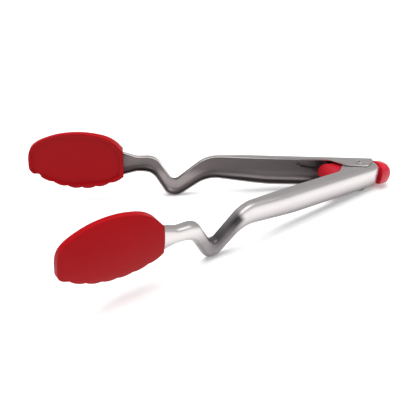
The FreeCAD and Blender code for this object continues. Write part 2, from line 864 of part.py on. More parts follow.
rotorBody = newBody("RotorBody")
ring = circleSketch(
    rotorBody, "RotorRing", "YZ_Plane", "Dims.rotorRadius", ("0", "Dims.axleHeight"),
    "-Dims.rotorFront",
)
pad(rotorBody, "RotorPad", ring, "Dims.rotorFront - Dims.plungerFront - Dims.slack")
ribs = [
    box(
        "RotorRib%d" % i, ("-Dims.rotorFront", "-Dims.rotorFront + 2.2"),
        ("-Dims.rotorRib", "Dims.rotorRib"), ("-0.7", "0.7"),
    )
    for i in range(2)
]
for i, rib in enumerate(ribs):
    rib.Placement.Rotation = Rotation(Vector(1, 0, 0), 90 * i)
ribs[0].setExpression("Placement.Base.z", "Dims.axleHeight - 0.7")
ribs[1].setExpression("Placement.Base.y", "0.7")
ribs[1].setExpression("Placement.Base.z", "Dims.axleHeight - Dims.rotorRib")
bore = cylinder(
    "RotorBore", "Dims.stemRadius + 0.15", "-15", "-9", ("0", "Dims.axleHeight"), Vector(1, 0, 0),
)
finish(cut("Rotor", fuse("RotorForm", [rotorBody] + ribs), [bore]), "click_rotor")

capBody = newBody("CapBody")
capPlan = sketch(capBody, "CapPlan", "XY_Plane", [
    ("Dims.capFront", "-Dims.capWide"),
    ("Dims.capFront + 1.6", "-Dims.capWide"),
    ("Dims.capFront + 6.6", "-0.82 * Dims.capWide"),
    ("Dims.capRear - 2.2", "-0.44 * Dims.capWide"),
    ("Dims.capRear", "-0.14 * Dims.capWide"),
    ("Dims.capRear", "0.14 * Dims.capWide"),
    ("Dims.capRear - 2.2", "0.44 * Dims.capWide"),
    ("Dims.capFront + 6.6", "0.82 * Dims.capWide"),
    ("Dims.capFront + 1.6", "Dims.capWide"),
    ("Dims.capFront", "Dims.capWide"),
], "-Dims.capHalf")
pad(capBody, "CapPad", capPlan, "2 * Dims.capHalf")
capSideBody = newBody("CapSideBody")
capSide = sketch(capSideBody, "CapSide", "XZ_Plane", [
    ("Dims.capFront - 1", "-Dims.capHalf"),
    ("Dims.capRear - Dims.capRound", "-Dims.capHalf"),
    ("Dims.capRear - 0.62 * Dims.capRound", "0.06 * Dims.capRound - Dims.capHalf"),
    ("Dims.capRear - 0.29 * Dims.capRound", "0.27 * Dims.capRound - Dims.capHalf"),
    ("Dims.capRear - 0.08 * Dims.capRound", "0.60 * Dims.capRound - Dims.capHalf"),
    ("Dims.capRear", "Dims.capRound - Dims.capHalf"),
    ("Dims.capRear", "Dims.capHalf - Dims.capRound"),
    ("Dims.capRear - 0.08 * Dims.capRound", "Dims.capHalf - 0.60 * Dims.capRound"),
    ("Dims.capRear - 0.29 * Dims.capRound", "Dims.capHalf - 0.27 * Dims.capRound"),
    ("Dims.capRear - 0.62 * Dims.capRound", "Dims.capHalf - 0.06 * Dims.capRound"),
    ("Dims.capRear - Dims.capRound", "Dims.capHalf"),
    ("Dims.capFront - 1", "Dims.capHalf"),
], "-Dims.capWide - 1")
pad(capSideBody, "CapSidePad", capSide, "2 * Dims.capWide + 2")
capNeck = box(
    "CapNeck", ("Dims.capFront - 5.2", "Dims.capFront + 1"), ("-Dims.neckWide", "Dims.neckWide"),
    ("-Dims.neckHalf", "Dims.neckHalf"),
)
barHole = box(
    "BarHole", ("0", "Dims.capFront + 4"), ("-Dims.plungerWide", "Dims.plungerWide"), (low, high),
)
dome = common("CapDome", capBody, capSideBody)
finish(cut("ButtonCap", fuse("CapForm", [dome, capNeck]), [barHole]), "button_cap")

# ---------------------------------------------------------------- resting place and hand-over

rise = size("Dims.footDrop - Dims.farHalf")
run = size("Dims.footReach * cos(Dims.openAngle * 1 deg) + Dims.rearContact")
tilt = Rotation(Vector(0, 1, 0), math.degrees(math.atan2(rise, run)))
doc.recompute()


def settle(item, shift):
    """Tip a piece onto the table; a piece of primitives turns about the hinge too."""
    item.Placement = Placement(shift, Rotation()) * Placement(Vector(0, 0, 0), tilt) * own[item.Label]


own = {item.Label: item.Placement.copy() for item in subparts}
whole = FreeCAD.BoundBox()
for item in subparts:
    settle(item, Vector(0, 0, 0))
doc.recompute()
for item in subparts:
    whole.add(item.Shape.optimalBoundingBox(False))
shift = Vector(-whole.Center.x, -whole.Center.y, -whole.ZMin)
for item in subparts:
    settle(item, shift)
doc.recompute()
print("tilt %.3f degrees, hinge at %.4f %.4f %.4f" % (
    math.degrees(tilt.Angle), shift.x, shift.y, shift.z))
print("size %.2f x %.2f x %.2f" % (whole.XLength, whole.YLength, whole.ZLength))

for item in doc.Objects:
    faults = [word for word in item.State if word in ("Invalid", "Error")]
    if faults:
        raise ValueError("%s is %s" % (item.Name, faults))
os.makedirs("parts", exist_ok=True)
for item in subparts:
    shape = item.Shape
    if shape.isNull() or not shape.isValid() or not shape.Solids:
        raise ValueError("%s has no sound shape" % item.Label)
    shape.exportStep("parts/%s.step" % item.Label)
    print("%-16s %9.1f mm3, %d solid" % (item.Label, shape.Volume, len(shape.Solids)))
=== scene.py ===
import json
import math
import bpy
from mathutils import Matrix, Vector


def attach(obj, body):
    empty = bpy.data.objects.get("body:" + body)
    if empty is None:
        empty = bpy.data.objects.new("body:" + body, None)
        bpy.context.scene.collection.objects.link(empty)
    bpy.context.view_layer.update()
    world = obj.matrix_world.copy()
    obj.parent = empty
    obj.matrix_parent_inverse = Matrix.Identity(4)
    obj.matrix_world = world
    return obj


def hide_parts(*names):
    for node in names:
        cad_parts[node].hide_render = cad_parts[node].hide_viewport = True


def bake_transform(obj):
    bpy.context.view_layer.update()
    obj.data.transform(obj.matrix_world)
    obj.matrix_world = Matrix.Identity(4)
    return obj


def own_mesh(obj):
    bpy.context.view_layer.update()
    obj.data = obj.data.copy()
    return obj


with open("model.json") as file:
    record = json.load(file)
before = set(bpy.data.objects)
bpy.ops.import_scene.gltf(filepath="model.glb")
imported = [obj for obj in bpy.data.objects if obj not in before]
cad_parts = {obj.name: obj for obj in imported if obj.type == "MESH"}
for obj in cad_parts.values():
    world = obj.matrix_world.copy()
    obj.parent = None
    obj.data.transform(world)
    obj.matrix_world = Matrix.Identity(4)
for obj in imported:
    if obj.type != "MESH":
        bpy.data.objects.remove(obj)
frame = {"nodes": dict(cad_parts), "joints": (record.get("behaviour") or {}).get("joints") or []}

scene = bpy.context.scene
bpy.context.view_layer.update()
mm = 0.001

# The hinge's place and lean come from the frame; all pieces are modelled about an upright hinge.
joints = {joint["name"]: joint for joint in frame["joints"]}
swing = joints["far_swing"]
hingeAt = Vector(swing["pos_m"])
hingeAxis = Vector(swing["axis"])
lean = math.atan2(hingeAxis.x, hingeAxis.z)
openAngle = math.radians(swing["range_deg"][1])
hingeSpace = Matrix.Translation(hingeAt) @ Matrix.Rotation(lean, 4, "Y")
farSpace = hingeSpace @ Matrix.Rotation(-openAngle, 4, "Z")
mirrorY = Matrix.Diagonal((1, -1, 1, 1))
nearSpace = hingeSpace @ mirrorY @ Matrix.Rotation(-openAngle, 4, "Z")


# camera

view = {"turn": -18.52, "height": 32.47, "distance": 518.8, "roll": -1.256,
        "aim": (-146.5, 0.08, 6.46), "focal": 631.84, "frame": 400, "sensor": 36}


def addCamera():
    turn = math.radians(view["turn"])
    height = math.radians(view["height"])
    roll = math.radians(view["roll"])
    back = Vector((math.sin(turn) * math.cos(height), -math.cos(turn) * math.cos(height), math.sin(height)))
    right = Vector((math.cos(turn), math.sin(turn), 0))
    up = back.cross(right)
    tiltedRight = right * math.cos(roll) + up * math.sin(roll)
    tiltedUp = up * math.cos(roll) - right * math.sin(roll)
    place = hingeAt + (Vector(view["aim"]) + back * view["distance"]) * mm
    bpy.ops.object.camera_add(location=place)
    camera = bpy.context.object
    camera.name = "tableCamera"
    turned = Matrix((tiltedRight, tiltedUp, back)).transposed().to_4x4()
    camera.matrix_world = Matrix.Translation(place) @ turned
    camera.data.sensor_width = view["sensor"]
    camera.data.lens = view["focal"] * view["sensor"] / view["frame"]
    camera.data.clip_start = 0.01
    scene.camera = camera
    print("camera at", [round(value, 3) for value in place])


addCamera()


# shader kit

class Signal:  # a socket that takes part in plain arithmetic
    def __init__(self, paint, socket):
        self.paint = paint
        self.socket = socket

    def __add__(self, other):
        return self.paint.maths("ADD", self, other)

    def __sub__(self, other):
        return self.paint.maths("SUBTRACT", self, other)

    def __rsub__(self, other):
        return self.paint.maths("SUBTRACT", other, self)

    def __mul__(self, other):
        return self.paint.maths("MULTIPLY", self, other)

    __radd__ = __add__
    __rmul__ = __mul__


class Paint:  # one material on Object coordinates
    def __init__(self, name, **constants):
        self.material = bpy.data.materials.new(name)
        self.material.use_nodes = True
        self.tree = self.material.node_tree
        self.shader = self.tree.nodes["Principled BSDF"]
        self.place = self.node("ShaderNodeTexCoord", out="Object")
        for socket, value in constants.items():
            self.feed(self.shader.inputs[socket.replace("_", " ")], value)

    def feed(self, socket, value):
        if isinstance(value, Signal):
            self.tree.links.new(value.socket, socket)
        else:
            socket.default_value = value

    def node(self, kind, settings=None, sockets=None, out=0):
        node = self.tree.nodes.new(kind)
        for name, value in (settings or {}).items():
            setattr(node, name, value)
        for name, value in (sockets or {}).items():
            self.feed(node.inputs[name], value)
        return Signal(self, node.outputs[out])

    def maths(self, operation, first, second):
        return self.node("ShaderNodeMath", {"operation": operation}, {0: first, 1: second})

    def along(self, direction, origin):
        shifted = self.node("ShaderNodeVectorMath", {"operation": "SUBTRACT"}, {0: self.place, 1: origin})
        return self.node("ShaderNodeVectorMath", {"operation": "DOT_PRODUCT"},
                         {0: shifted, 1: direction}, out="Value")

    def rise(self, signal, low, high):
        return self.node("ShaderNodeMapRange", {"interpolation_type": "SMOOTHSTEP"},
                         {"Value": signal, "From Min": low, "From Max": high})

    def mix(self, factor, first, second):  # sockets 6 and 7 are the two colours
        return self.node("ShaderNodeMix", {"data_type": "RGBA"}, {0: factor, 6: first, 7: second}, out=2)

    def noise(self, scale, detail, stretch=(1, 1, 1), turn=(0, 0, 0)):
        mapped = self.node("ShaderNodeMapping", None,
                           {"Vector": self.place, "Scale": stretch, "Rotation": turn})
        return self.node("ShaderNodeTexNoise", None, {"Vector": mapped, "Scale": scale, "Detail": detail})

    def bump(self, height, strength, distance):
        return self.node("ShaderNodeBump", None, {"Height": height, "Strength": strength, "Distance": distance})

    def wear(self, **signals):
        for socket, value in signals.items():
            self.feed(self.shader.inputs[socket.replace("_", " ")], value)
        return self.material


# finishes: brushed grain runs along the arms, and clouding varies the tone; the arm steel also carries painted
# shade, painted reflections and a painted highlight, placed by height and reach

steel = {"grain": 260, "grainStretch": (0.04, 1, 1), "cloud": 38, "innerCloud": 30, "grainDepth": 0.0002}
webShade = {"from": -0.0115, "to": 0.0048}  # painted shade: where the outer web darkens downwards, metres from the hinge
# painted shade: the outer steel's top flange darkens towards its top edge
flangeShade = {"from": 0.003, "to": 0.0115, "share": 0.15}
# painted reflection: a dark stripe across the outer steel at the shoulder bend
shoulder = {"at": (0.128, 0.0013), "down": (0.766, -0.643), "offset": 0.0024, "core": 0.0015, "edge": 0.0072,
            "start": (-0.003, 0.0025), "end": (0.024, 0.038), "fade": (0.005, 0.020), "share": 0.95}
# painted reflection and painted highlight: the inner steel lightens towards its lower edge and towards the foot
innerPaintedLight = {"lowFrom": -0.012, "lowTo": -0.002, "farFrom": 0.110, "farTo": 0.165}
hingeUp = hingeAxis.normalized()
hingeAhead = Vector((-hingeUp.z, 0, hingeUp.x))


def brushedGrain(paint):
    return paint.noise(steel["grain"], 3, steel["grainStretch"], (0, -lean, 0))


def steelPaint(name, bright, dark, rough):
    paint = Paint(name, Metallic=1.0)
    grain = brushedGrain(paint)
    cloud = paint.noise(steel["cloud"], 2)
    color = paint.mix(cloud * 0.6 + grain * 0.3, bright, dark)
    return paint.wear(
        Base_Color=color,
        Roughness=grain * 0.10 + cloud * 0.06 + (rough - 0.08),
        Normal=paint.bump(grain, 0.12, steel["grainDepth"]),
    )


def siliconePaint(name, face, deep):
    paint = Paint(name, Specular_IOR_Level=0.09, Sheen_Weight=0.02, Sheen_Roughness=0.4,
                  Sheen_Tint=(1.0, 0.55, 0.55, 1.0))
    bloom = paint.noise(24, 3)
    skin = paint.noise(1500, 2)
    return paint.wear(
        Base_Color=paint.mix(bloom, face, deep),
        Roughness=bloom * 0.10 + skin * 0.08 + 0.40,
        Normal=paint.bump(skin, 0.10, 0.0001),
    )


def plasticPaint(name, face, deep, rough, coat):
    paint = Paint(name, Specular_IOR_Level=0.35, Coat_Weight=coat, Coat_Roughness=0.2)
    flow = paint.noise(60, 2)
    skin = paint.noise(2200, 2)
    return paint.wear(
        Base_Color=paint.mix(flow, face, deep),
        Roughness=flow * 0.06 + skin * 0.05 + (rough - 0.05),
        Normal=paint.bump(skin, 0.08, 0.0001),
    )


# painted reflection: a mask for the dark stripe that glossy steel would mirror at the shoulder
def shoulderShade(paint):
    ahead, up = shoulder["down"]
    place = hingeAt + hingeAhead * shoulder["at"][0] + hingeUp * shoulder["at"][1]
    down = paint.along(hingeAhead * ahead + hingeUp * up, place)
    across = paint.along(hingeAhead * -up + hingeUp * ahead, place) - shoulder["offset"]
    off = paint.node("ShaderNodeMath", {"operation": "ABSOLUTE"}, {0: across})
    stripe = 1 - paint.rise(off, shoulder["core"], shoulder["edge"])
    stripe = stripe * paint.rise(down, *shoulder["start"]) * (1 - paint.rise(down, *shoulder["end"]))
    return stripe * (1 - paint.rise(down, *shoulder["fade"]) * 0.35)


def outsidePaint(name, bright, dark, shade, darkReflection):
    paint = Paint(name, Metallic=0.86)
    grain = brushedGrain(paint)
    cloud = paint.noise(steel["cloud"], 2)
    height = paint.along(hingeUp, hingeAt)
    # painted shade: the colour moves towards the shade colour low on the web and high on the flange
    low = 1 - paint.rise(height, webShade["from"], webShade["to"])
    high = paint.rise(height, flangeShade["from"], flangeShade["to"])
    color = paint.mix(cloud * 0.6 + grain * 0.3, bright, dark)
    color = paint.mix(low + high * flangeShade["share"], color, shade)
    color = paint.mix(shoulderShade(paint) * shoulder["share"], color, darkReflection)
    return paint.wear(
        Base_Color=color,
        Roughness=grain * 0.10 + cloud * 0.06 + 0.24,
        Normal=paint.bump(grain, 0.12, steel["grainDepth"]),
    )


def insidePaint(name, dark, mid, light):
    paint = Paint(name, Metallic=1.0)
    grain = brushedGrain(paint)
    cloud = paint.noise(steel["innerCloud"], 3)
    # painted reflection low on the inner web, painted highlight towards the foot
    low = 1 - paint.rise(paint.along(hingeUp, hingeAt), innerPaintedLight["lowFrom"], innerPaintedLight["lowTo"])
    far = paint.rise(paint.along(hingeAhead, hingeAt), innerPaintedLight["farFrom"], innerPaintedLight["farTo"])
    color = paint.mix(cloud * 0.7 + grain * 0.4 - 0.05, dark, mid)
    color = paint.mix(low * 0.45 + far * 0.25 * cloud, color, light)
    return paint.wear(
        Base_Color=color,
        Roughness=grain * 0.10 + cloud * 0.06 + 0.36,
        Normal=paint.bump(grain, 0.12, steel["grainDepth"]),
    )


finishes = {
    # outerSteel: two tones varying at random, then a painted shade colour and a painted dark reflection colour
    "outerSteel": outsidePaint("outerSteel", (0.70, 0.67, 0.66, 1), (0.62, 0.59, 0.585, 1),
                               (0.26, 0.235, 0.24, 1), (0.02, 0.017, 0.022, 1)),
    # painted shade: the inner faces use a darker copy of the arm steel
    "shadedInnerSteel": insidePaint("shadedInnerSteel", (0.09, 0.077, 0.078, 1), (0.15, 0.128, 0.129, 1),
                              (0.48, 0.43, 0.43, 1)),
    "plainSteel": steelPaint("plainSteel", (0.55, 0.54, 0.53, 1), (0.46, 0.45, 0.44, 1), 0.32),
    "rivetSteel": steelPaint("rivetSteel", (0.92, 0.90, 0.88, 1), (0.82, 0.80, 0.78, 1), 0.24),
    "springWire": steelPaint("springWire", (0.12, 0.10, 0.095, 1), (0.08, 0.07, 0.065, 1), 0.30),
    "silicone": siliconePaint("silicone", (0.34, 0.003, 0.006, 1), (0.29, 0.002, 0.005, 1)),
    "redNylon": plasticPaint("redNylon", (0.40, 0.009, 0.020, 1), (0.35, 0.007, 0.016, 1), 0.38, 0.05),
    "redButton": plasticPaint("redButton", (0.52, 0.012, 0.028, 1), (0.47, 0.010, 0.024, 1), 0.34, 0.1),
    "darkNylon": plasticPaint("darkNylon", (0.06, 0.006, 0.012, 1), (0.04, 0.004, 0.01, 1), 0.45, 0.0),
    "paleNylon": plasticPaint("paleNylon", (0.72, 0.70, 0.64, 1), (0.66, 0.63, 0.57, 1), 0.42, 0.0),
}
nodeFinish = {
    "far_arm": "outerSteel", "near_arm": "outerSteel", "far_head": "silicone", "near_head": "silicone",
    "far_catch": "plainSteel", "near_catch": "plainSteel", "torsion_spring": "springWire",
    "return_spring": "springWire", "hinge_rivet": "rivetSteel", "top_washer": "paleNylon",
    "bottom_washer": "paleNylon", "coil_bush": "paleNylon", "lower_core": "redNylon",
    "upper_core": "redNylon", "core_screws": "plainSteel", "plunger": "darkNylon",
    "lock_bolt": "plainSteel", "bolt_pin": "plainSteel", "click_rotor": "paleNylon",
    "button_cap": "redButton",
}


def dress(piece, finish):
    piece.data.materials.clear()
    piece.data.materials.append(finishes[finish])


for node, finish in nodeFinish.items():
    dress(frame["nodes"][node], finish)
print("dressed", len(nodeFinish), "frame nodes")


# modelling kit: pieces are drawn in millimetres about an upright hinge, then settled into place

def pickAll():
    bpy.ops.object.mode_set(mode="EDIT")
    bpy.ops.mesh.select_mode(type="VERT")
    bpy.ops.mesh.select_all(action="SELECT")


def turnBy(angle, axis, centre):  # with no window the operator turns the other way
    bpy.ops.transform.rotate(value=-angle, orient_axis=axis, center_override=centre)


def rounded(corners, closed=True, steps=6):  # corners are (across, up, radius)
    points = []
    for i, (u, v, radius) in enumerate(corners):
        here = Vector((u, v))
        if radius == 0 or (not closed and i in (0, len(corners) - 1)):
            points.append(here)
            continue
        before = (Vector(corners[i - 1][:2]) - here).normalized()
        after = (Vector(corners[(i + 1) % len(corners)][:2]) - here).normalized()
        half = before.angle(after) / 2
        middle = here + (before + after).normalized() * (radius / math.sin(half))
        start = here + before * (radius / math.tan(half)) - middle
        end = here + after * (radius / math.tan(half)) - middle
        first = math.atan2(start.y, start.x)
        sweep = (math.atan2(end.y, end.x) - first + math.pi) % (2 * math.pi) - math.pi
        for k in range(steps + 1):
            angle = first + sweep * k / steps
            points.append(middle + Vector((math.cos(angle), math.sin(angle))) * radius)
    return points


def drawChain(name, points):  # a line of vertices, extruded point by point and left in edit mode
    bpy.ops.object.select_all(action="DESELECT")
    bpy.ops.mesh.primitive_plane_add(size=2)
    piece = bpy.context.object
    piece.name = name
    pickAll()
    bpy.ops.mesh.merge(type="CENTER")
    bpy.ops.transform.translate(value=points[0])
    for before, after in zip(points[:-1], points[1:]):
        bpy.ops.mesh.extrude_region_move(TRANSFORM_OT_translate={"value": after - before})
    return piece


def drawPrism(name, points, depth):
    piece = drawChain(name, points)
    bpy.ops.mesh.select_all(action="SELECT")
    bpy.ops.mesh.edge_face_add()
    bpy.ops.mesh.extrude_region_move(TRANSFORM_OT_translate={"value": depth})
    pickAll()
    bpy.ops.mesh.normals_make_consistent(inside=False)
    bpy.ops.object.mode_set(mode="OBJECT")
    return piece


def choose(piece):
    bpy.ops.object.select_all(action="DESELECT")
    piece.select_set(True)
    bpy.context.view_layer.objects.active = piece


def modify(piece, kind, **settings):
    choose(piece)
    modifier = piece.modifiers.new(kind.title(), kind)
    for name, value in settings.items():
        setattr(modifier, name, value)
    bpy.ops.object.modifier_apply(modifier=modifier.name)


def carve(piece, tool, operation="DIFFERENCE"):
    modify(piece, "BOOLEAN", object=tool, operation=operation, solver="EXACT")
    choose(tool)
    bpy.ops.object.delete()


def softenEdges(piece, width, segments, angle):
    modify(piece, "BEVEL", width=width, segments=segments, limit_method="ANGLE",
           angle_limit=math.radians(angle), harden_normals=False)


def settle(piece, space, body, nodes, materials, smooth=35):
    choose(piece)
    piece.matrix_world = space @ Matrix.Scale(mm, 4)
    bpy.ops.object.transform_apply(location=True, rotation=True, scale=True)
    pickAll()
    bpy.ops.mesh.normals_make_consistent(inside=False)
    bpy.ops.object.mode_set(mode="OBJECT")
    bpy.ops.object.shade_smooth_by_angle(angle=math.radians(smooth))
    if len(piece.data.materials) < len(materials):
        piece.data.materials.clear()
        for finish in materials:
            piece.data.materials.append(finishes[finish])
    else:
        for index, finish in enumerate(materials):
            piece.data.materials[index] = finishes[finish]
    if body:
        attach(piece, body)
    for node in nodes:
        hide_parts(node)
    print("made", piece.name, len(piece.data.polygons), "faces")


# arms: a rounded channel swept through a shoulder, a foot and a neck, then trimmed in plan

arm = {"rear": -17, "foot": 162, "drop": 28, "web": 12.2, "neck": 11.2, "paddle": 9.6, "lip": -8.0,
       "gauge": 1.0, "corner": 5.2, "cornerStretch": 1.65, "cornerSteps": 9, "rivetHole": 2.3,
       "end": 216, "edge": 0.14, "stationGap": 7, "trimHigh": 60, "narrowing": (90, 126),
       "flattening": (178, 208), "farHalf": 12.8, "nearHalf": 11.3}
armTrim = [  # plan of what is cut away on the inner side: ears at the rear, then a lip along the arm
    (-14.2, 30, 0), (-14.2, 3.6, 5), (-6.5, -6.6, 6), (12.5, -6.2, 7), (25.5, 2.9, 9),
    (92, 2.9, 60), (122, 4.6, 60), (280, 4.2, 0), (280, -30, 0), (-40, -30, 0), (-40, 30, 0),
]


def armOutlines(half):  # upper and lower edge seen from the side: reach, height, corner radius
    foot = arm["foot"]
    upper = [(arm["rear"], half, 0), (95, half, 60), (foot - 28.3, 12.0, 27), (foot - 0.5, -14.0, 4.6),
             (foot + 15.0, 10.4, 14), (foot + 32, 9.9, 14), (foot + 66, 21, 0)]
    lower = [(arm["rear"], -half, 0), (78, -half - 0.3, 60), (foot - 30.0, -8.6, 26),
             (foot + 0.4, -arm["drop"] - 4.75, 10.5), (foot + 18.6, -4.4, 13), (foot + 32, -4.6, 14),
             (foot + 60, -13.5, 0)]
    return rounded(upper, closed=False, steps=9), rounded(lower, closed=False, steps=9)


def armStations(half):
    stations = []
    for up, low in zip(*armOutlines(half)):
        if stations:
            lastUp, lastLow = stations[-1]
            gap = max((up - lastUp).length, (low - lastLow).length)
            count = int(gap / arm["stationGap"]) + 1
            for k in range(1, count):
                stations.append((lastUp.lerp(up, k / count), lastLow.lerp(low, k / count)))
        stations.append((up, low))
    return [pair for pair in stations if (pair[0].x + pair[1].x) / 2 < arm["end"]]


def eased(value, low, high):
    share = min(1, max(0, (value - low) / (high - low)))
    return share * share * (3 - 2 * share)


def webReach(reach):
    return (arm["web"] + (arm["neck"] - arm["web"]) * eased(reach, *arm["narrowing"])
            + (arm["paddle"] - arm["neck"]) * eased(reach, *arm["flattening"]))


def sweepChannel(name, half):  # each station moves, leans and resizes the section as it is extruded
    stations = armStations(half)
    stretch = arm["cornerStretch"]
    section = rounded([
        (arm["lip"], -half / stretch, 0), (arm["web"], -half / stretch, arm["corner"]),
        (arm["web"], half / stretch, arm["corner"]), (arm["lip"], half / stretch, 0),
    ], closed=False, steps=arm["cornerSteps"])
    rear = -stations[0][0].x
    piece = drawChain(name, [Vector((rear, offset, height * stretch)) for offset, height in section])
    bpy.ops.mesh.select_all(action="SELECT")
    tall, slant, wide = 2 * half, 0.0, arm["web"] - arm["lip"]
    at = Vector((rear, arm["lip"], 0))
    for up, low in stations[1:]:
        middle = (up + low) / 2
        to = Vector((-middle.x, arm["lip"], middle.y))
        bpy.ops.mesh.extrude_region_move(TRANSFORM_OT_translate={"value": to - at})
        newTall = (up - low).length
        newSlant = math.atan2(low.x - up.x, up.y - low.y)
        newWide = webReach(middle.x) - arm["lip"]
        turnBy(-slant, "Y", to)
        bpy.ops.transform.resize(value=(1, newWide / wide, newTall / tall), center_override=to)
        turnBy(newSlant, "Y", to)
        at, tall, slant, wide = to, newTall, newSlant, newWide
    pickAll()
    bpy.ops.mesh.normals_make_consistent(inside=True)
    bpy.ops.object.mode_set(mode="OBJECT")
    return piece


def makeArm(name, half, space, body, node):
    piece = sweepChannel(name, half)
    # painted shade: the solidified inner shell takes the darker copy of the steel
    for finish in ("outerSteel", "shadedInnerSteel"):
        piece.data.materials.append(finishes[finish])
    modify(piece, "SOLIDIFY", thickness=arm["gauge"], offset=-1, use_even_offset=True, material_offset=1)
    high = arm["trimHigh"]
    plan = [Vector((-reach, offset, -high)) for reach, offset in rounded(armTrim)]
    carve(piece, drawPrism("trim", plan, Vector((0, 0, 2 * high))))
    bpy.ops.mesh.primitive_cylinder_add(radius=arm["rivetHole"], depth=high, vertices=48)
    carve(piece, bpy.context.object)
    softenEdges(piece, arm["edge"], 2, 60)
    settle(piece, space, body, [node], ["outerSteel", "shadedInnerSteel"])


makeArm("farArm", arm["farHalf"], farSpace, "far_side", "far_arm")
makeArm("nearArm", arm["nearHalf"], nearSpace, "near_side", "near_arm")


# heads: a scalloped spoon with a domed back and a shallow dish

head = {"root": 206, "tip": 285, "inner": 1.0, "outer": 11.4, "pitch": 12, "sag": 1.6, "rim": 2.4,
        "dish": 2.0, "long": 330, "cross": 62, "middle": (228, 6), "softBack": 3.4, "softRim": 1.5,
        "softDish": 1.8, "scallops": 6, "toe": 8, "toeStart": -1.5, "toeBulge": (1.6, -1.3), "blank": 20,
        "dishTool": 4, "crownArc": 76, "crownTurn": 24, "crownThick": 26, "bottom": -19.4, "bottomRise": 11,
        "bottomAt": 241, "bottomReach": 36}


def headLow(reach):
    return head["bottom"] + head["bottomRise"] * ((reach - head["bottomAt"]) / head["bottomReach"]) ** 2


def smoothCurve(knots, steps=7):
    points = []
    padded = [knots[0] * 2 - knots[1]] + knots + [knots[-1] * 2 - knots[-2]]
    for a, b, c, d in zip(padded[:-3], padded[1:-2], padded[2:-1], padded[3:]):
        for k in range(steps):
            t = k / steps
            points.append((b * 2 + (c - a) * t + (a * 2 - b * 5 + c * 4 - d) * t * t
                           + (b * 3 - a - c * 3 + d) * t ** 3) / 2)
    return points + [knots[-1]]


def headOutline():
    root, tip = head["root"], head["tip"]
    knots = [Vector(pair) for pair in (
        (root, 15.5), (root + 7, 23), (root + 17, 28.2), (root + 34, 31),
        (root + 52, 29.4), (root + 67, 24), (tip - 4.0, 18.4), (tip - 0.9, 12.6), (tip, 6.5))]
    points = smoothCurve(knots)
    corner = Vector((tip - head["toe"], headLow(tip - head["toe"])))
    start = Vector((tip, head["toeStart"]))
    for k in range(7):
        t = k / 6
        bulge = Vector(head["toeBulge"]) * (4 * t * (1 - t))
        points.append(start.lerp(corner, t) + bulge)
    for scallop in range(head["scallops"]):
        after = Vector((corner.x - head["pitch"], headLow(corner.x - head["pitch"])))
        for k in range(1, 9):
            t = k / 8
            points.append(corner.lerp(after, t) - Vector((0, head["sag"] * 4 * t * (1 - t))))
        corner = after
    return points


def dishOutline():
    root, tip, rim = head["root"], head["tip"], head["rim"]
    return rounded([
        (root + rim, 15.0 - rim, 0), (root + rim, -7.4, 2), (root + 12, -16.6 + rim, 26),
        (root + 46, -20.5 + rim, 30), (tip - rim, -7.6, 8), (tip - rim, 13.5, 7),
        (root + 60, 29.8 - rim, 24), (root + 34, 31.6 - rim, 30), (root + 14, 28.4 - rim, 12),
    ])


def crownBlock():  # a thick shell, curved both ways, whose outside is the back of the head
    lengthwise, cross = head["long"], head["cross"]
    reach, height = head["middle"]
    centre = Vector((-reach, head["outer"] - lengthwise, height))
    points = []
    for k in range(37):
        angle = math.radians(head["crownArc"] * (k / 36 - 0.5))
        points.append(centre + Vector((0, lengthwise - cross + cross * math.cos(angle),
                                       cross * math.sin(angle))))
    piece = drawChain("crown", points)
    bpy.ops.mesh.select_all(action="SELECT")
    turnBy(math.radians(head["crownTurn"] / 2), "Z", centre)
    bpy.ops.mesh.spin(steps=72, angle=math.radians(head["crownTurn"]), center=centre, axis=(0, 0, 1))
    bpy.ops.object.mode_set(mode="OBJECT")
    pickAll()
    bpy.ops.mesh.normals_make_consistent(inside=False)
    bpy.ops.object.mode_set(mode="OBJECT")
    modify(piece, "SOLIDIFY", thickness=head["crownThick"], offset=-1, use_even_offset=False)
    return piece


def shapeHead(name):
    inside = head["inner"]
    deep = Vector((0, head["blank"], 0))
    blank = drawPrism(name, [Vector((-u, inside, v)) for u, v in headOutline()], deep)
    carve(blank, crownBlock(), "INTERSECT")
    softenEdges(blank, head["softBack"], 7, 50)
    proud = head["dishTool"]
    dish = drawPrism("dish", [Vector((-u, inside - proud, v)) for u, v in dishOutline()],
                     Vector((0, proud + head["dish"], 0)))
    softenEdges(dish, head["softDish"], 6, 50)
    carve(blank, dish)
    softenEdges(blank, head["softRim"], 3, 50)
    return blank


def makeHeads():
    farHead = shapeHead("farHead")
    choose(farHead)
    bpy.ops.object.duplicate(linked=False)
    nearHead = bpy.context.object
    nearHead.name = "nearHead"
    settle(farHead, farSpace, "far_side", ["far_head"], ["silicone"], 50)
    settle(nearHead, nearSpace, "near_side", ["near_head"], ["silicone"], 50)


makeHeads()


# button: a rounded D on a neck

button = {"front": 20.4, "rear": 32.5, "wide": 10.5, "half": 9.55, "square": 0.3,
          "neckFront": 15.2, "neckWide": 5.4, "neckHalf": 8.0, "dimple": (22.6, -3.0, 8.6), "dimpleRadius": 2.2,
          "edge": 0.6, "neckEdge": 1.2, "neckOverlap": 1}


